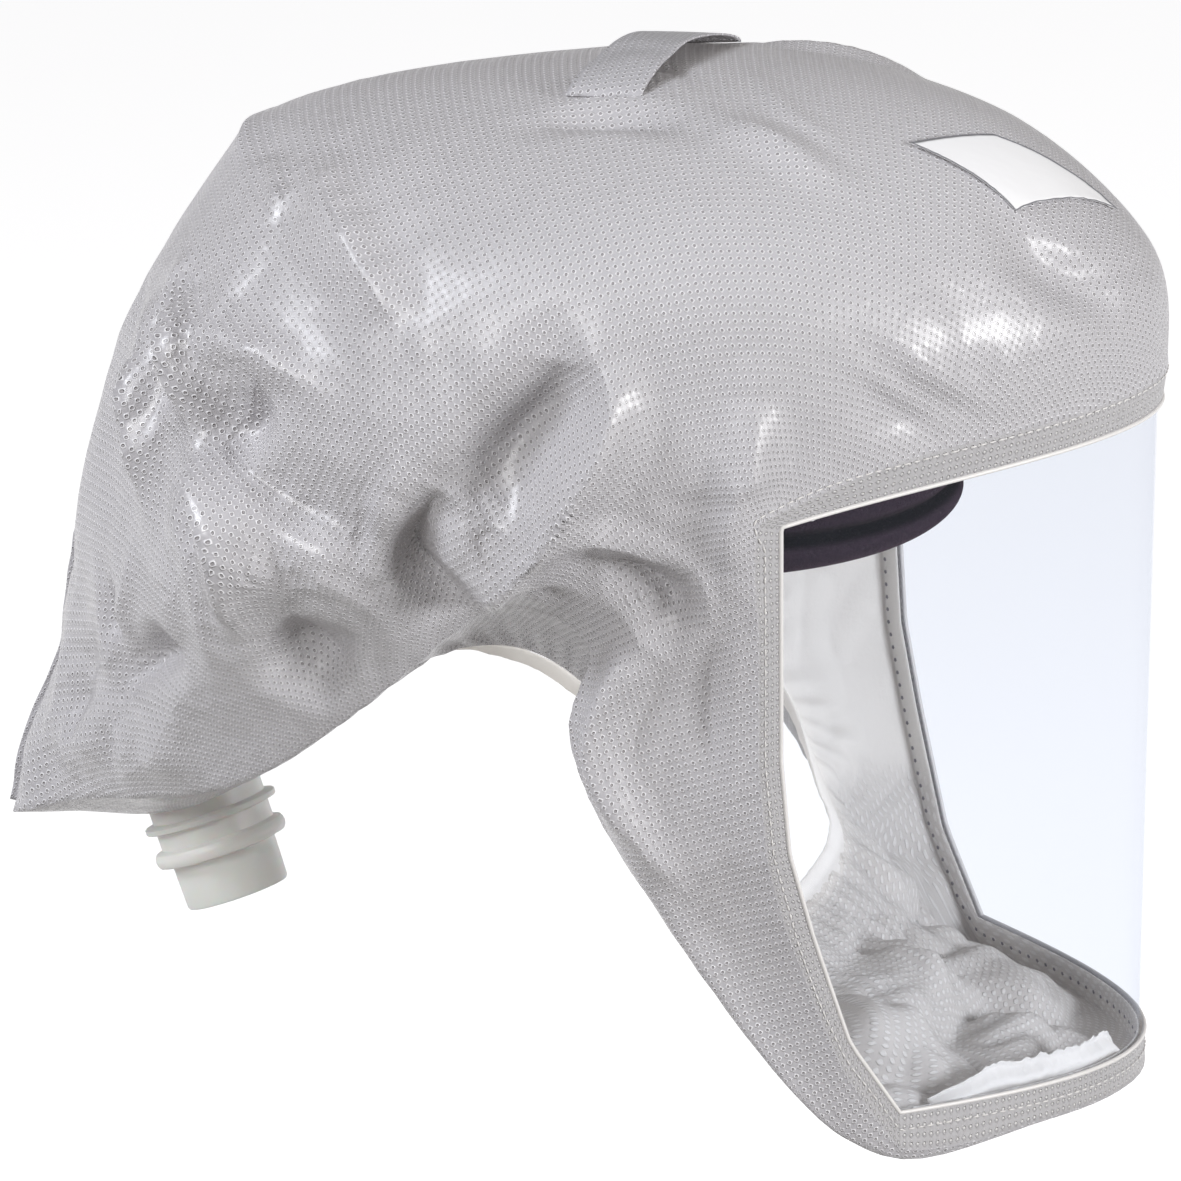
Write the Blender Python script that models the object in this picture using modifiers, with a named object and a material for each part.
# Disposable respirator hood: a light coated fabric hood with a clear bent visor, a soft face seal,
# a foam brow pad on a headband, and an air inlet tube under the tail at the back.
# Frame: the origin is the middle of the head at brow height, the face looks along -Y, +Z is up.
# The wearer's right side is at -X. Tables are in millimetres, and MM turns them to metres.
import math
from collections import namedtuple

import bmesh
import bpy
import numpy as np
from mathutils import Matrix, Vector

MM = 0.001

# Walls and clearances
FABRIC = 1.2
SEAL_FABRIC = 1.0
VISOR_SHEET = 0.8
GAP = 0.35

# Visor: a flat clear sheet bent round a vertical axis, so each height has the same plan curve
VISOR_APEX_Y = -170.0
VISOR_BOW = 0.01159
VISOR_FLARE = 2.635e-7
VISOR_HALF_WIDTH = 106.0
BROW_FRONT_Z = 20.0
BROW_TEMPLE_Z = 9.0
CHIN_HALF_WIDTH = 80.0
CHIN_FRONT_Z = -187.0
CHIN_CORNER_Z = -185.0
VISOR_TUCK = 6.0
VISOR_CORNER_TUCK = -1.5
VISOR_SIDE_TUCK = -0.8
VISOR_INSET = 2.2
VISOR_STATIONS = 24
VISOR_ROWS = 6
HEM_WIDTH = 11.0
SIDE_HEM_SHARE = 0.8
VISOR_SIDE = ((9, 106), (-64, 105.5), (-94, 103.5), (-121, 98.5), (-159, 90.5), (-185, 80))

# Sections of the fabric, from the middle of the crown round the near side to the middle of the chin.
# Each starts at the visor's edge, at the place given by edge, and ends at the neck opening.
Section = namedtuple("Section", "name edge at body rim under neck columns")
SECTIONS = (
    Section("crown_middle", "brow", 0,
            ((0, -165, 67), (0, -118, 104), (0, -35, 117), (0, 62, 107), (0, 117, 87), (0, 151, 14),
             (0, 169, -72)),
            (0, 188, -141), (0, 150, -131), (0, 102, -101), 8),
    Section("crown_side", "brow", 45,
            ((-48, -145, 63), (-54, -102, 96), (-58, -30, 108), (-60, 58, 94), (-54, 112, 63),
             (-44, 146, -18), (-36, 156, -84)),
            (-30, 164, -124), (-34, 132, -124), (-38, 98, -101), 8),
    Section("brow_side", "brow", 82,
            ((-90, -98, 56), (-98, -62, 80), (-101, -4, 83), (-99, 56, 58), (-92, 96, 16),
             (-84, 115, -44)),
            (-70, 104, -100), (-62, 90, -94), (-57, 76, -77), 7),
    Section("temple", "side", 9,
            ((-111, -46, 38), (-115, -2, 44), (-114, 36, 18), (-104, 60, -24)),
            (-84, 60, -67), (-76, 58, -66), (-70, 48, -55), 6),
    Section("ear", "side", -24,
            ((-108, -46, -12), (-110, -14, 0), (-104, 12, -12)),
            (-92, 16, -28), (-80, 18, -38), (-71, 16, -47), 5),
    Section("ear_front", "side", -44,
            ((-106, -46, -38), (-102, -26, -32)),
            (-95, -13, -36), (-84, -12, -44), (-72, -8, -58), 5),
    Section("cheek", "side", -76,
            ((-104, -44, -74), (-101, -24, -70)),
            (-95, -8, -66), (-84, -14, -74), (-72, -24, -84), 6),
    Section("jaw", "side", -121,
            ((-99, -54, -122), (-99, -36, -116)),
            (-93, -26, -108), (-82, -34, -112), (-70, -42, -111), 6),
    Section("jaw_corner", "side", -185,
            ((-86, -98, -195), (-90, -86, -187)),
            (-87, -76, -175), (-77, -68, -164), (-62, -58, -139), 5),
    Section("chin_side", "chin", 45,
            ((-46, -142, -199), (-50, -112, -194)),
            (-50, -94, -184), (-48, -82, -172), (-46, -68, -155), 4),
    Section("chin_middle", "chin", 0,
            ((0, -162, -201), (0, -126, -196)),
            (0, -102, -186), (0, -82, -173), (0, -64, -159), 0),
)
MIRROR = np.array((-1.0, 1.0, 1.0))
HEM_ROWS = 2
BODY_ROWS = 62
UNDER_ROWS = 8
SHELL_KEEP = 0.205
EDGE_FADE = 0.22
FOLD_FADE = 12.0
RIM_FOLD = 0.2

# Folds of the fabric. Each runs through places given as (y, z) on one side of the hood,
# stands out by height (a negative height is a hollow) and fades out width away from its line.
# crest 1 is a sharp crease, and crest 0 a round one.
Fold = namedtuple("Fold", "name side places width height crest")
FOLDS = (
    Fold("ear_hollow", "near", ((-9, 60), (-6, 46), (3, 34), (12, 20), (18, 8)), 19, -10, 0.3),
    Fold("ear_ridge", "near", ((-18, 60), (-24, 47), (-22, 34), (-12, 16), (4, -6), (18, -23)),
         15, 9, 0.8),
    Fold("ear_swell", "near", ((22, 14), (16, -4), (8, -16)), 17, 6, 0.2),
    Fold("ear_crescent", "near", ((27, 18), (35, 3), (37, -11), (30, -21), (20, -28)), 13, -9, 0.6),
    Fold("crescent_ridge", "near", ((40, 14), (45, -3), (42, -20)), 10, 5, 0.7),
    Fold("temple_pocket", "near", ((-18, -7), (-30, -9), (-40, -15), (-31, -29)), 13, -9, 0.5),
    Fold("pocket_lip", "near", ((-8, 3), (-20, 4), (-35, -2), (-47, -9)), 10, 5, 0.7),
    Fold("cheek_ridge", "near", ((-44, -15), (-33, -29), (-22, -47), (-17, -66), (-23, -80), (-33, -98)),
         12, 7, 0.9),
    Fold("temple_groove", "near", ((-54, -26), (-51, -46), (-53, -67)), 9, -6, 0.4),
    Fold("temple_ridge", "near", ((-65, 50), (-64, 32), (-63, 11), (-61, -7)), 13, 5, 0.7),
    Fold("nape_bowl", "near", ((86, -41), (73, -48), (60, -54)), 21, -11, 0.3),
    Fold("nape_valley", "near", ((103, 15), (82, 8), (62, 2), (43, -5), (34, -20)), 17, -8, 0.5),
    Fold("nape_ridge", "near", ((108, 14), (101, 4), (94, -4), (92, -16), (93, -30), (90, -47)),
         14, 9, 0.9),
    Fold("back_pocket", "near", ((106, 17), (94, 24), (84, 34)), 15, -8, 0.4),
    Fold("back_crease", "near", ((109, 17), (112, 32), (115, 45), (121, 54)), 11, 6, 0.8),
    Fold("back_edge", "near", ((131, 34), (130, 19), (130, 4), (128, -11)), 11, 6, 0.8),
    Fold("upper_pocket", "near", ((123, 36), (121, 47), (116, 55)), 11, -7, 0.5),
    Fold("tail_notch", "near", ((150, -45), (148, -56), (146, -67)), 10, -5, 0.5),
    Fold("tail_swell", "near", ((170, -108), (157, -101), (146, -94)), 13, 4, 0.4),
    Fold("tail_valley", "near", ((146, -79), (133, -65), (116, -52)), 13, -7, 0.6),
    Fold("side_swell", "near", ((82, 88), (65, 80), (52, 71), (42, 59)), 15, 4, 0.6),
    Fold("back_swell", "near", ((110, 44), (87, 45), (66, 40)), 15, 4, 0.5),
    Fold("crown_crease", "near", ((14, 108), (-3, 111), (-19, 112), (-32, 111)), 12, -4, 0.6),
    Fold("crown_ridge", "near", ((-42, 112), (-60, 108), (-73, 104), (-81, 101)), 11, 3, 0.7),
    Fold("front_hollow", "near", ((-130, 83), (-139, 74), (-155, 64), (-163, 60)), 13, -4, 0.5),
    Fold("brow_hollow", "near", ((-91, 56), (-104, 43), (-120, 27)), 17, -3, 0.4),
    Fold("far_ear_hollow", "far", ((0, 56), (-2, 38), (10, 20)), 20, -9, 0.3),
    Fold("far_ear_ridge", "far", ((-22, 48), (-18, 24), (-6, 4), (8, -18)), 15, 8, 0.8),
    Fold("far_crescent", "far", ((30, 20), (36, 0), (28, -20)), 14, -7, 0.6),
    Fold("far_nape_valley", "far", ((112, 26), (92, 10), (66, -4), (48, -14)), 19, -9, 0.5),
    Fold("far_nape_ridge", "far", ((118, 2), (104, -16), (98, -38), (90, -58)), 15, 8, 0.9),
    Fold("far_bowl", "far", ((80, -34), (66, -46)), 20, -8, 0.3),
    Fold("far_back_pocket", "far", ((124, 44), (128, 18), (132, -10)), 13, -6, 0.6),
    Fold("far_tail_valley", "far", ((150, -60), (132, -76), (112, -78)), 13, -6, 0.6),
    Fold("far_cheek_ridge", "far", ((-42, 4), (-34, -26), (-26, -60), (-36, -92)), 12, 6, 0.8),
    Fold("far_temple_pocket", "far", ((-22, -2), (-36, -10), (-38, -26)), 13, -6, 0.5),
    Fold("far_crown_ridge", "far", ((-36, 110), (-64, 106), (-88, 98)), 12, 3, 0.7),
    Fold("far_brow_hollow", "far", ((-80, 60), (-112, 54), (-142, 50)), 17, -4, 0.4),
)

# Brow pad and headband
HEAD_HALF_WIDTH = 76.0
HEAD_FRONT_Y = -98.0
HEAD_BACK_Y = 92.0
BAND_LOW_Z = 4.0
BAND_HEIGHT = 22.0
BAND_THICK = 1.6
BAND_SIDES = 36
PAD_HALF_ANGLE = 62.0
PAD_LOW_Z = -21.0
PAD_HIGH_Z = 26.0
PAD_THICK = 11.0
PAD_GROOVE = 4.0
PAD_STATIONS = 20
PAD_FRONT_POINTS = 12
PAD_LIFT = 0.6
TAB_X = 98.0
TAB_MIDDLE_Z = 11.0
TAB_HEIGHT = 6.0
TAB_THICK = 1.6
TAB_SKEW = 0.9
TAB_BAND_ANGLE = 75.0

# Air inlet
TUBE_TOP = (-6.0, 131.0, -124.0)
TUBE_LEAN_X = -0.16
TUBE_LEAN_Y = -0.36
TUBE_STUB = 8.0
TUBE_LENGTH = 38.0
TUBE_RADIUS = 18.5
TUBE_BORE = 14.5
TUBE_SIDES = 24
TUBE_HOLE_DEPTH = 60.0

# Crown strap, label and back seam
STRAP_WIDTH = 23.0
STRAP_MIDDLE_Y = -10.0
STRAP_TURN = 0.22
STRAP_NEAR_X = -28.0
STRAP_FAR_X = 46.0
STRAP_RISE = 5.5
STRAP_LIFT = 2.15
STRAP_STEPS = 14
LABEL_CORNERS = (((-34, -98), (-12, -119)), ((-38, -135), (-1, -155)))
LABEL_THICK = 0.6
LABEL_LIFT = 2.9
SEAM_WIDTH = 4.0
SEAM_THICK = 2.0
SEAM_TOP_Y = 120.0
SEAM_TOP_Z = -30.0
SEAM_STATIONS = 16
SEAM_LIFT = 0.7

# Neck hem
HEM_LOOP_STATIONS = 44
HEM_BAND_WIDTH = 9.0
HEM_BAND_THICK = 2.4
HEM_CLEAR = 0.8

# Face seal
SEAL_EDGE = (("side", -8), ("side", -68), ("side", -121), ("side", -183), ("chin", 45), ("chin", 0))
SEAL_LIFT = 3.0
SEAL_CLEAR = 1.2
SEAL_STATIONS = 40
SEAL_ROWS = 5


def clear_scene():
    for obj in list(bpy.data.objects):
        bpy.data.objects.remove(obj, do_unlink=True)


def make_collection(name):
    collection = bpy.data.collections.new(name)
    bpy.context.scene.collection.children.link(collection)
    return collection


def make_material(name, color, roughness, metallic=0.0, alpha=1.0):
    material = bpy.data.materials.new(name)
    material.use_nodes = True
    shader = material.node_tree.nodes["Principled BSDF"]
    shader.inputs["Base Color"].default_value = (*color, 1.0)
    shader.inputs["Roughness"].default_value = roughness
    shader.inputs["Metallic"].default_value = metallic
    shader.inputs["Alpha"].default_value = alpha
    return material


def add_object(name, bm, material, collection):
    mesh = bpy.data.meshes.new(name)
    bm.to_mesh(mesh)
    bm.free()
    mesh.materials.append(material)
    mesh.shade_smooth()
    mesh.set_sharp_from_angle(angle=math.radians(40))
    obj = bpy.data.objects.new(name, mesh)
    collection.objects.link(obj)
    return obj


def add_solidify(obj, thickness, offset):
    wall = obj.modifiers.new("wall", "SOLIDIFY")
    wall.thickness = thickness * MM
    wall.offset = offset
    wall.use_even_offset = False
    return wall


def spline(points, t):
    """A smooth curve through the rows of points, read at t, counted in rows."""
    points = np.asarray(points, float)
    t = np.clip(np.asarray(t, float), 0, len(points) - 1)
    i = np.minimum(t.astype(int), len(points) - 2)
    f = (t - i).reshape((-1,) + (1,) * (points.ndim - 1))
    before = points[np.maximum(i - 1, 0)]
    here = points[i]
    after = points[i + 1]
    beyond = points[np.minimum(i + 2, len(points) - 1)]
    slope_here = (after - before) / 2
    slope_after = (beyond - here) / 2
    return ((2 * f**3 - 3 * f**2 + 1) * here + (f**3 - 2 * f**2 + f) * slope_here
            + (3 * f**2 - 2 * f**3) * after + (f**3 - f**2) * slope_after)


def even_curve(points, steps):
    """The same curve, read at steps + 1 places an even distance apart."""
    points = np.asarray(points, float)
    fine = np.linspace(0, len(points) - 1, 40 * (len(points) - 1) + 1)
    curve = spline(points, fine)
    length = np.concatenate(([0.0], np.cumsum(np.linalg.norm(np.diff(curve, axis=0), axis=1))))
    wanted = np.linspace(0, length[-1], steps + 1)
    return np.stack([np.interp(wanted, length, curve[:, k]) for k in range(3)], axis=1)


def visor_y(x):
    return VISOR_APEX_Y + VISOR_BOW * x**2 - VISOR_FLARE * x**4


def visor_out(x):
    """The level direction that points straight out of the visor."""
    slope = 2 * VISOR_BOW * x - 4 * VISOR_FLARE * x**3
    return np.array((slope, -1.0, 0.0)) / math.hypot(slope, 1.0)


def visor_half_width(z):
    """Half the visor's width at a height, from its side edge."""
    table = np.array(sorted(VISOR_SIDE), float)
    return float(np.interp(z, table[:, 0], table[:, 1]))


def edge_point(kind, at):
    """A place on the near half of the visor opening's edge."""
    if kind == "brow":
        z = BROW_FRONT_Z + (BROW_TEMPLE_Z - BROW_FRONT_Z) * (at / VISOR_HALF_WIDTH)**2
        return np.array((-at, visor_y(at), z))
    if kind == "side":
        x = visor_half_width(at)
        return np.array((-x, visor_y(x), at))
    z = CHIN_FRONT_Z + (CHIN_CORNER_Z - CHIN_FRONT_Z) * (at / CHIN_HALF_WIDTH)**2
    return np.array((-at, visor_y(at), z))


def hem_point(kind, at):
    """The place one hem width away from the opening's edge."""
    edge = edge_point(kind, at)
    if kind == "brow":
        return edge + np.array((-1.5 * at / VISOR_HALF_WIDTH, -1.5, HEM_WIDTH))
    if kind == "side" and at > CHIN_CORNER_Z:
        return edge + np.array((-1.0, HEM_WIDTH * SIDE_HEM_SHARE, 2.0 if at > 0 else -2.0))
    return edge + np.array((-2.5 * abs(edge[0]) / CHIN_HALF_WIDTH, -0.5, -HEM_WIDTH))


def edge_between(first, second, f):
    """A place on the edge between two sections, f of the way along."""
    if first.edge == second.edge:
        return edge_point(first.edge, first.at + (second.at - first.at) * f)
    if first.edge == "brow":
        return edge_point("brow", first.at + (VISOR_HALF_WIDTH - first.at) * f)
    return edge_point("chin", CHIN_HALF_WIDTH + (second.at - CHIN_HALF_WIDTH) * f)


def mirrored_loop(half):
    """Rows from the middle of the crown to the middle of the chin, carried round both sides."""
    half = np.array(half, float)
    loop = np.concatenate(((half[::-1] * MIRROR)[:-1], half))
    return np.concatenate((loop[-2:-1], loop, loop[1:2]))


def shell_grid():
    """Rows of places from the visor's edge to the neck opening, columns all the way round."""
    stations = []
    for s in SECTIONS:
        curve = [edge_point(s.edge, s.at), hem_point(s.edge, s.at), *s.body, s.rim, s.under, s.neck]
        curve = np.array(curve, float)
        rim = len(s.body) + 2
        hem = even_curve(curve[:2], HEM_ROWS)
        body = even_curve(curve[1:rim + 1], BODY_ROWS)
        under = even_curve(curve[rim:], UNDER_ROWS)
        stations.append(np.concatenate((hem, body[1:], under[1:])))
    places = []
    edges = []
    count = len(SECTIONS) - 1
    for k in range(2 * count):
        i = count - 1 - k if k < count else k - count
        first, second = SECTIONS[i], SECTIONS[i + 1]
        for c in range(first.columns):
            f = c / first.columns
            places.append(k + 1 + f)
            g = 1 - f if k < count else f
            side = 1.0 if k < count else -1.0
            edges.append(edge_between(first, second, g) * np.array((-side, 1.0, 1.0)))
    places.append(2 * count + 1.0)
    edges.append(edge_between(SECTIONS[-2], SECTIONS[-1], 1.0))
    grid = spline(mirrored_loop(stations), np.array(places))
    shift = np.array(edges) - grid[:, 0]
    fade = np.clip(1 - np.arange(grid.shape[1]) / (grid.shape[1] * EDGE_FADE), 0, 1)**2
    return grid + shift[:, None, :] * fade[None, :, None]


def grid_normals(grid):
    """Outward directions at the places of a grid that closes round its columns."""
    around = np.roll(grid[:-1], -1, axis=0) - np.roll(grid[:-1], 1, axis=0)
    around = np.concatenate((around, around[:1]))
    along = np.gradient(grid, axis=1)
    normal = np.cross(along, around)
    return normal / (np.linalg.norm(normal, axis=2, keepdims=True) + 1e-9)


def fold_heights(grid, folds):
    """How far each place of the grid moves out, from the table of folds."""
    height = np.zeros(grid.shape[:2])
    last = HEM_ROWS + BODY_ROWS
    for fold in folds:
        sign = -1.0 if fold.side == "near" else 1.0
        on_side = np.where(grid[:, :last, 0] * sign > 0, 0.0, 1e6)
        line = []
        for y, z in fold.places:
            miss = (grid[:, :last, 1] - y)**2 + (grid[:, :last, 2] - z)**2 + on_side
            line.append(grid[:, :last].reshape(-1, 3)[int(np.argmin(miss))])
        line = even_curve(np.array(line), 24)
        for f, spot in zip(np.linspace(0, 1, len(line)), line):
            fade = math.sin(math.pi * min(max(f, 0.04), 0.96))**0.7
            far = np.linalg.norm(grid - spot, axis=2) / fold.width
            near = np.clip(1 - far, 0, 1)
            shape = fold.crest * near**1.3 + (1 - fold.crest) * (3 * near**2 - 2 * near**3)
            lift = fold.height * fade * shape
            if fold.height > 0:
                best = np.maximum(lift, 0) if f == 0 else np.maximum(best, lift)
            else:
                best = np.minimum(lift, 0) if f == 0 else np.minimum(best, lift)
        height += best
    steps = np.linalg.norm(np.diff(grid, axis=1), axis=2)
    reach = np.concatenate((np.zeros((len(grid), 1)), np.cumsum(steps, axis=1)), axis=1)
    from_hem = np.clip((reach - reach[:, HEM_ROWS:HEM_ROWS + 1]) / FOLD_FADE, 0, 1)
    to_rim = np.clip((reach[:, last:last + 1] - reach) / FOLD_FADE, RIM_FOLD, 1)
    to_neck = np.clip((reach[:, -1:] - reach) / FOLD_FADE, 0, 1)
    return height * from_hem * to_rim * to_neck


def folded_shell():
    grid = shell_grid()
    return grid + grid_normals(grid) * fold_heights(grid, FOLDS)[:, :, None]


def bmesh_from_grid(grid, closed):
    """A sheet of quads whose corners are the grid's places, welded where its columns close."""
    bm = bmesh.new()
    across, along = grid.shape[:2]
    bmesh.ops.create_grid(bm, x_segments=across - 1, y_segments=along - 1, size=1.0)
    bm.verts.ensure_lookup_table()
    for v in bm.verts:
        i = round((v.co.x + 1) / 2 * (across - 1))
        j = round((v.co.y + 1) / 2 * (along - 1))
        v.co = Vector(grid[i, j] * MM)
    if closed:
        bmesh.ops.remove_doubles(bm, verts=bm.verts[:], dist=1e-6)
    return bm


def turn_outwards(bm):
    """Makes the faces of a closed body consistent and point out of it."""
    bmesh.ops.recalc_face_normals(bm, faces=bm.faces[:])
    if bm.calc_volume(signed=True) < 0:
        bmesh.ops.reverse_faces(bm, faces=bm.faces[:])


def face_outwards(bm, middle):
    """Turns the faces of an open sheet so that most of them point away from a place inside."""
    total = sum(f.calc_area() * f.normal.dot(f.calc_center_median() - middle) for f in bm.faces)
    if total < 0:
        bmesh.ops.reverse_faces(bm, faces=bm.faces[:])


def tube_axes():
    """The inlet tube's own directions: along is down the tube, towards the hose."""
    along = Vector((TUBE_LEAN_X, TUBE_LEAN_Y, -math.sqrt(1 - TUBE_LEAN_X**2 - TUBE_LEAN_Y**2)))
    side = along.cross(Vector((0, 1, 0))).normalized()
    return along, side, along.cross(side)


def tube_matrix():
    along, side, front = tube_axes()
    turn = Matrix((side, front, along)).transposed().to_4x4()
    return Matrix.Translation(Vector(TUBE_TOP) * MM) @ turn


def build_shell(grid, material, collection, cutters):
    bm = bmesh_from_grid(grid, closed=True)
    bm.normal_update()
    face_outwards(bm, Vector((0, 0, -20)) * MM)
    shell = add_object("hood_shell", bm, material, collection)
    fewer = shell.modifiers.new("fewer_faces", "DECIMATE")
    fewer.ratio = SHELL_KEEP
    add_solidify(shell, FABRIC, -1.0)
    hole = bmesh.new()
    bmesh.ops.create_cone(hole, cap_ends=True, segments=TUBE_SIDES, depth=TUBE_HOLE_DEPTH * MM,
                          radius1=(TUBE_RADIUS + GAP) * MM, radius2=(TUBE_RADIUS + GAP) * MM)
    cutter = add_object("tube_hole", hole, material, cutters)
    cutter.matrix_world = tube_matrix()
    cutter.hide_render = True
    cutter.display_type = "WIRE"
    cut = shell.modifiers.new("tube_hole", "BOOLEAN")
    cut.operation = "DIFFERENCE"
    cut.object = cutter
    return shell


def visor_place(f, z):
    """A place on the visor's outer face, f from the middle to the side edge and at a height."""
    half = visor_half_width(min(max(z, CHIN_CORNER_Z), BROW_TEMPLE_Z)) + VISOR_SIDE_TUCK
    x = f * half
    return np.array((x, visor_y(x), z)) - visor_out(x) * VISOR_INSET


def build_visor(material, collection):
    """The clear sheet, tucked under the hem above and below and stopping short of it at the sides."""
    columns = []
    for f in np.linspace(-1, 1, VISOR_STATIONS + 1):
        tuck = VISOR_TUCK + (VISOR_CORNER_TUCK - VISOR_TUCK) * f**2
        low = CHIN_FRONT_Z + (CHIN_CORNER_Z - CHIN_FRONT_Z) * f**2 - tuck
        high = BROW_FRONT_Z + (BROW_TEMPLE_Z - BROW_FRONT_Z) * f**2 + tuck
        columns.append([visor_place(f, z) for z in np.linspace(low, high, VISOR_ROWS + 1)])
    bm = bmesh_from_grid(np.array(columns), closed=False)
    bm.normal_update()
    face_outwards(bm, Vector((0, 0, -90)) * MM)
    visor = add_object("visor", bm, material, collection)
    add_solidify(visor, VISOR_SHEET, -1.0)
    return visor


def neck_loops(stations):
    """The neck opening's edge all the way round, and the direction in which the fabric meets it."""
    necks = mirrored_loop([s.neck for s in SECTIONS])
    unders = mirrored_loop([s.under for s in SECTIONS])
    places = np.linspace(1, len(necks) - 2, 400)
    fine = spline(necks, places)
    inward = fine - spline(unders, places)
    length = np.concatenate(([0.0], np.cumsum(np.linalg.norm(np.diff(fine, axis=0), axis=1))))
    wanted = np.linspace(0, length[-1], stations + 1)[:-1]
    path = np.stack([np.interp(wanted, length, fine[:, k]) for k in range(3)], axis=1)
    inward = np.stack([np.interp(wanted, length, inward[:, k]) for k in range(3)], axis=1)
    ahead = np.roll(path, -1, axis=0) - np.roll(path, 1, axis=0)
    ahead = ahead / np.linalg.norm(ahead, axis=1, keepdims=True)
    inward = inward - ahead * np.sum(inward * ahead, axis=1, keepdims=True)
    return path, inward / np.linalg.norm(inward, axis=1, keepdims=True)


def sweep_closed(path, ups, profile):
    """A ring whose cross-section is profile, a row of (across, up) places, along a closed path."""
    count = len(path)
    bm = bmesh.new()
    rings = []
    for i in range(count):
        ahead = path[(i + 1) % count] - path[i - 1]
        ahead = ahead / np.linalg.norm(ahead)
        up = ups[i] - ahead * float(np.dot(ups[i], ahead))
        up = up / np.linalg.norm(up)
        across = np.cross(ahead, up)
        rings.append([bm.verts.new((path[i] + across * a + up * b) * MM) for a, b in profile])
    for i in range(count):
        first, second = rings[i], rings[(i + 1) % count]
        for k in range(len(profile)):
            n = (k + 1) % len(profile)
            bm.faces.new((first[k], first[n], second[n], second[k]))
    turn_outwards(bm)
    return bm


def oval(width, height, count):
    """Places round an oval, as (across, up)."""
    turns = [2 * math.pi * k / count for k in range(count)]
    return [(width / 2 * math.cos(t), height / 2 * math.sin(t)) for t in turns]


def build_neck_hem(material, collection):
    path, inward = neck_loops(HEM_LOOP_STATIONS)
    middle = path + inward * (HEM_BAND_WIDTH / 2 + HEM_CLEAR)
    bm = sweep_closed(middle, inward, oval(HEM_BAND_THICK, HEM_BAND_WIDTH, 6))
    return add_object("neck_hem", bm, material, collection)


def head_place(angle, out, z):
    """A place round the headband, angle from the front, out beyond the band's inner face."""
    a = math.radians(angle)
    middle_y = (HEAD_FRONT_Y + HEAD_BACK_Y) / 2
    x = (HEAD_HALF_WIDTH + out) * math.sin(a)
    y = middle_y - ((HEAD_BACK_Y - HEAD_FRONT_Y) / 2 + out) * math.cos(a)
    return np.array((x, y, z))


def build_headband(material, collection):
    count = BAND_SIDES
    path = np.array([head_place(360 * k / count, BAND_THICK / 2, BAND_LOW_Z + BAND_HEIGHT / 2)
                     for k in range(count)])
    ups = np.tile(np.array((0.0, 0.0, 1.0)), (count, 1))
    flat = ((BAND_THICK / 2, BAND_HEIGHT / 2), (-BAND_THICK / 2, BAND_HEIGHT / 2),
            (-BAND_THICK / 2, -BAND_HEIGHT / 2), (BAND_THICK / 2, -BAND_HEIGHT / 2))
    return add_object("headband", sweep_closed(path, ups, flat), material, collection)


def build_brow_pad(material, collection):
    """Two foam rolls with a groove between them, held on the outside of the headband's front."""
    bm = bmesh.new()
    rings = []
    height = PAD_HIGH_Z - PAD_LOW_Z
    for k in range(PAD_STATIONS + 1):
        f = 2 * k / PAD_STATIONS - 1
        angle = f * PAD_HALF_ANGLE
        end = math.sqrt(max(1 - abs(f)**6, 0.04))
        ring = []
        for t in np.linspace(-math.pi / 2, math.pi / 2, PAD_FRONT_POINTS):
            z = (PAD_LOW_Z + PAD_HIGH_Z) / 2 + height / 2 * math.sin(t)
            roll = abs(math.sin(2 * math.pi * (z - PAD_LOW_Z) / height))
            depth = (PAD_THICK - PAD_GROOVE + PAD_GROOVE * roll) * abs(math.cos(t))**0.5 * end
            out = BAND_THICK + GAP + PAD_LIFT + depth
            ring.append(bm.verts.new(Vector(head_place(angle, out, z)) * MM))
        for z in (PAD_HIGH_Z - 3, (PAD_HIGH_Z + PAD_LOW_Z) / 2, PAD_LOW_Z + 3):
            ring.append(bm.verts.new(Vector(head_place(angle, BAND_THICK + GAP, z)) * MM))
        rings.append(ring)
    for first, second in zip(rings, rings[1:]):
        for j in range(len(first)):
            n = (j + 1) % len(first)
            bm.faces.new((first[j], first[n], second[n], second[j]))
    bm.faces.new(rings[0])
    bm.faces.new(rings[-1])
    bmesh.ops.triangulate(bm, faces=[f for f in bm.faces if len(f.verts) > 4])
    turn_outwards(bm)
    return add_object("brow_pad", bm, material, collection)


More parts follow.
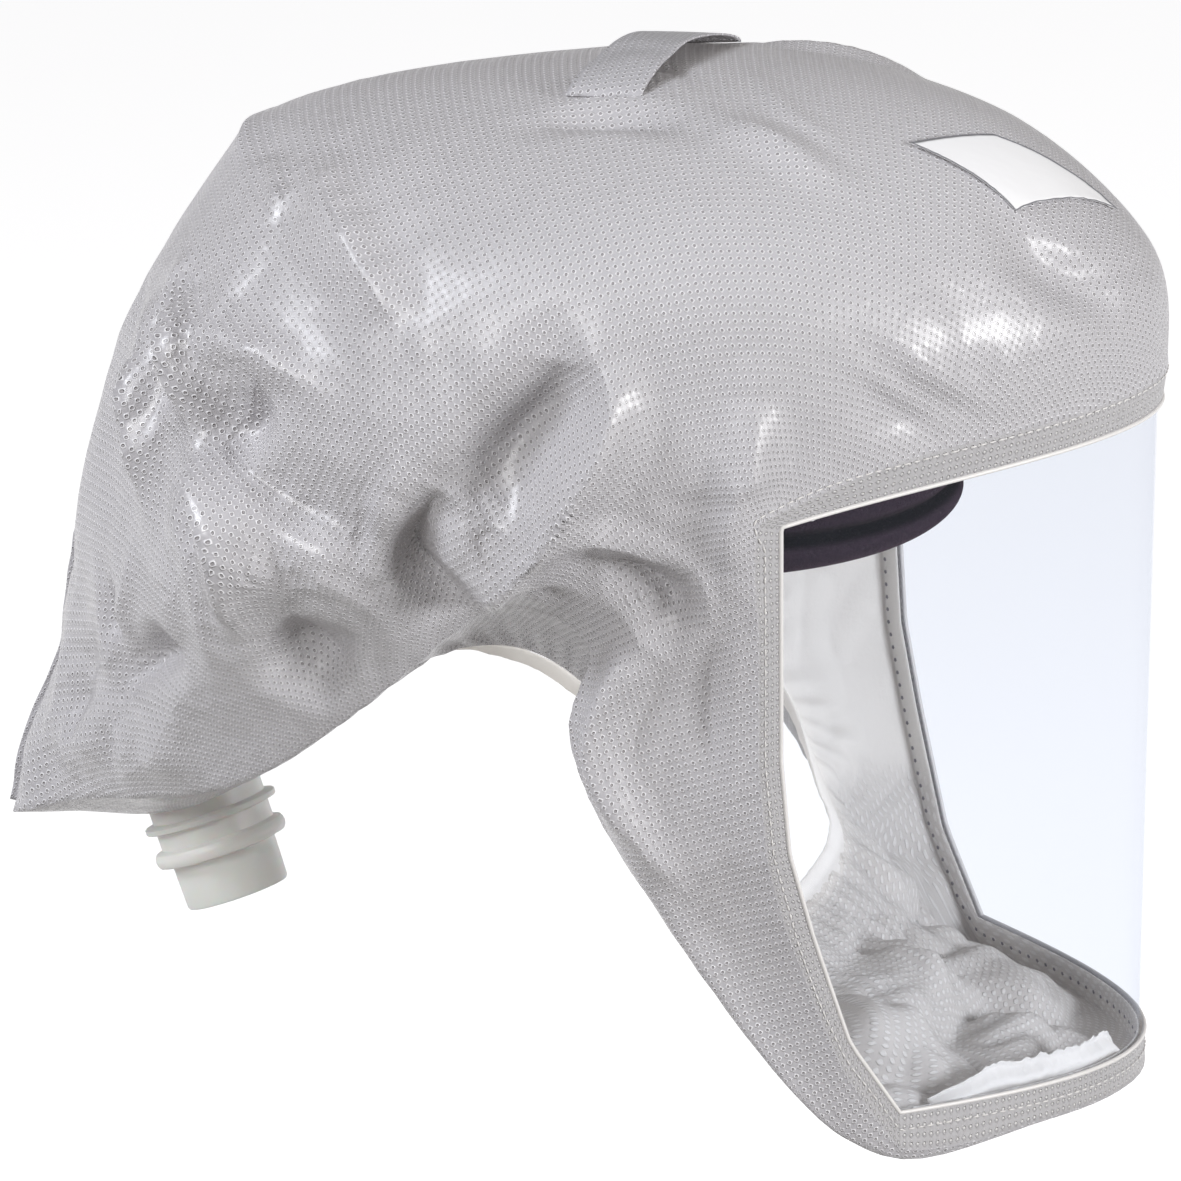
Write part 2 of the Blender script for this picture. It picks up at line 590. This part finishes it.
def build_face_seal(material, collection):
    """Soft fabric from inside the visor's side and lower edge in to the neck hem."""
    inset = VISOR_INSET + VISOR_SHEET + GAP + SEAL_FABRIC
    necks = mirrored_loop([s.neck for s in SECTIONS])[-len(SEAL_EDGE) - 1:]
    unders = mirrored_loop([s.under for s in SECTIONS])[-len(SEAL_EDGE) - 1:]
    places = np.linspace(0, len(SEAL_EDGE) - 1, SEAL_STATIONS // 2 + 1)
    neck = spline(necks, places)
    inward = neck - spline(unders, places)
    inward = inward / np.linalg.norm(inward, axis=1, keepdims=True)
    ahead = np.gradient(neck, axis=0)
    ahead = ahead / np.linalg.norm(ahead, axis=1, keepdims=True)
    outer = []
    for t in places:
        i = min(int(t), len(SEAL_EDGE) - 2)
        a, b = SEAL_EDGE[i], SEAL_EDGE[i + 1]
        kind = b[0]
        start = CHIN_HALF_WIDTH if kind != a[0] else a[1]
        edge = edge_point(kind, start + (b[1] - start) * (t - i))
        outer.append(edge - visor_out(edge[0]) * inset + np.array((0, 0, SEAL_LIFT)))
    outer = np.array(outer)
    face = outer - neck
    face = face - inward * np.sum(face * inward, axis=1, keepdims=True)
    face = face - ahead * np.sum(face * ahead, axis=1, keepdims=True)
    face = face / np.linalg.norm(face, axis=1, keepdims=True)
    reach = HEM_BAND_THICK / 2 + SEAL_FABRIC / 2 + SEAL_CLEAR
    inner = neck + inward * (HEM_BAND_WIDTH / 2 + HEM_CLEAR) + face * reach
    outer[-1, 0] = inner[-1, 0] = 0.0
    outer = np.concatenate((outer, outer[-2::-1] * MIRROR))
    inner = np.concatenate((inner, inner[-2::-1] * MIRROR))
    grid = np.array([np.linspace(a, b, SEAL_ROWS + 1) for a, b in zip(outer, inner)])
    bm = bmesh_from_grid(grid, closed=False)
    seal = add_object("face_seal", bm, material, collection)
    add_solidify(seal, SEAL_FABRIC, 0.0)
    return seal


def build_side_tab(name, side, material, collection):
    """A plain blade that carries the headband from the visor's top corner."""
    x = side * TAB_X
    start = np.array((x, visor_y(x), TAB_MIDDLE_Z))
    start = start - visor_out(x) * (VISOR_INSET + VISOR_SHEET + GAP + TAB_SKEW / 3)
    angle = TAB_BAND_ANGLE * side
    end = head_place(angle, BAND_THICK + GAP + TAB_SKEW, TAB_MIDDLE_Z)
    ahead = (end - start) / np.linalg.norm(end - start)
    across = np.array((-ahead[1], ahead[0], 0.0)) * TAB_THICK / 2
    bm = bmesh.new()
    bmesh.ops.create_cube(bm, size=1.0)
    for v in bm.verts:
        along = start if v.co.x < 0 else end
        turn = across if v.co.y < 0 else -across
        v.co = Vector((along + turn + np.array((0, 0, TAB_HEIGHT * v.co.z))) * MM)
    turn_outwards(bm)
    return add_object(name, bm, material, collection)


def build_inlet_tube(material, collection):
    """The moulded inlet: a stub through the fabric, a seat plate, two flanges and a plain end."""
    outer = ((TUBE_BORE, -TUBE_STUB), (TUBE_RADIUS, -TUBE_STUB), (TUBE_RADIUS, 9.0),
             (TUBE_RADIUS + 3, 9.6), (TUBE_RADIUS + 3, 11.6), (TUBE_RADIUS, 12.2), (TUBE_RADIUS, 17.6),
             (TUBE_RADIUS + 2.2, 18.4), (TUBE_RADIUS + 3, 20.6), (TUBE_RADIUS + 2.2, 22.8),
             (TUBE_RADIUS - 1.6, 23.6), (TUBE_RADIUS - 1.9, TUBE_LENGTH - 0.8),
             (TUBE_RADIUS - 2.4, TUBE_LENGTH), (TUBE_BORE, TUBE_LENGTH))
    bm = bmesh.new()
    rim = [bm.verts.new((r * MM, 0, z * MM)) for r, z in outer]
    edges = [bm.edges.new((a, b)) for a, b in zip(rim, rim[1:] + rim[:1])]
    bmesh.ops.spin(bm, geom=rim + edges, cent=(0, 0, 0), axis=(0, 0, 1), angle=2 * math.pi,
                   steps=TUBE_SIDES, use_merge=True)
    bmesh.ops.remove_doubles(bm, verts=bm.verts[:], dist=1e-6)
    turn_outwards(bm)
    tube = add_object("inlet_tube", bm, material, collection)
    tube.matrix_world = tube_matrix()
    return tube


def top_height(grid, x, y):
    """The height of the crown's outer face above a place, from the nearest grid places."""
    upper = grid.reshape(-1, 3)
    upper = upper[upper[:, 2] > 40]
    miss = (upper[:, 0] - x)**2 + (upper[:, 1] - y)**2
    close = np.argsort(miss)[:6]
    weight = 1 / (miss[close] + 4.0)
    return float((upper[close, 2] * weight).sum() / weight.sum())


def build_crown_strap(grid, material, collection):
    """A fabric band across the crown that stands proud in the middle."""
    columns = []
    for f in np.linspace(0, 1, STRAP_STEPS + 1):
        x = STRAP_NEAR_X + (STRAP_FAR_X - STRAP_NEAR_X) * f
        lift = STRAP_LIFT + STRAP_RISE * math.sin(math.pi * f)**0.6
        ys = [STRAP_MIDDLE_Y + g * STRAP_WIDTH - STRAP_TURN * x for g in (-0.5, -0.17, 0.17, 0.5)]
        columns.append([(x, y, top_height(grid, x, y) + lift) for y in ys])
    bm = bmesh_from_grid(np.array(columns), closed=False)
    bm.normal_update()
    face_outwards(bm, Vector((0, 0, 0)))
    strap = add_object("crown_strap", bm, material, collection)
    add_solidify(strap, FABRIC, -1.0)
    return strap


def build_label(grid, material, collection):
    """A bare sewn-on patch on the brow, a slanted rectangle."""
    corners = np.array(LABEL_CORNERS, float)
    columns = []
    for f in np.linspace(0, 1, 7):
        start, end = corners[0] * (1 - f) + corners[1] * f
        spots = [start + (end - start) * g for g in np.linspace(0, 1, 9)]
        columns.append([(x, y, top_height(grid, x, y) + LABEL_LIFT) for x, y in spots])
    bm = bmesh_from_grid(np.array(columns), closed=False)
    bm.normal_update()
    face_outwards(bm, Vector((0, 0, 0)))
    label = add_object("label_patch", bm, material, collection)
    add_solidify(label, LABEL_THICK, -1.0)
    return label


def build_back_seam(grid, material, collection):
    """The welded seam that stands out along the middle of the back, down to the tail's tip."""
    middle = (grid.shape[0] - 1) // 2
    column = grid[middle, :HEM_ROWS + BODY_ROWS]
    low = column[(column[:, 1] > SEAM_TOP_Y) & (column[:, 2] < SEAM_TOP_Z)]
    path = even_curve(low, SEAM_STATIONS)
    ahead = np.gradient(path, axis=0)
    out = np.stack((np.zeros(len(path)), -ahead[:, 2], ahead[:, 1]), axis=1)
    out = out / np.linalg.norm(out, axis=1, keepdims=True)
    start = path + out * SEAM_LIFT
    strip = np.array([np.linspace(p, p + o * SEAM_WIDTH, 3) for p, o in zip(start, out)])
    bm = bmesh_from_grid(strip, closed=False)
    seam = add_object("back_seam", bm, material, collection)
    add_solidify(seam, SEAM_THICK, 0.0)
    return seam


def main():
    clear_scene()
    hood = make_collection("respirator_hood")
    cutters = make_collection("cutters")
    coated = make_material("coated_nonwoven", (0.82, 0.83, 0.84), 0.4)
    soft = make_material("soft_knit", (0.86, 0.86, 0.86), 0.8)
    clear = make_material("clear_polyester_sheet", (0.93, 0.95, 0.98), 0.05, alpha=0.25)
    foam = make_material("dark_foam", (0.05, 0.045, 0.06), 0.95)
    milky = make_material("milky_polyethylene", (0.9, 0.91, 0.9), 0.35)
    plastic = make_material("white_polyethylene", (0.8, 0.8, 0.8), 0.5)
    grid = folded_shell()
    build_shell(grid, coated, hood, cutters)
    build_visor(clear, hood)
    build_face_seal(soft, hood)
    build_neck_hem(soft, hood)
    build_headband(plastic, hood)
    build_brow_pad(foam, hood)
    build_side_tab("side_tab_near", -1.0, plastic, hood)
    build_side_tab("side_tab_far", 1.0, plastic, hood)
    build_inlet_tube(milky, hood)
    build_crown_strap(grid, coated, hood)
    build_label(grid, plastic, hood)
    build_back_seam(grid, coated, hood)


main()
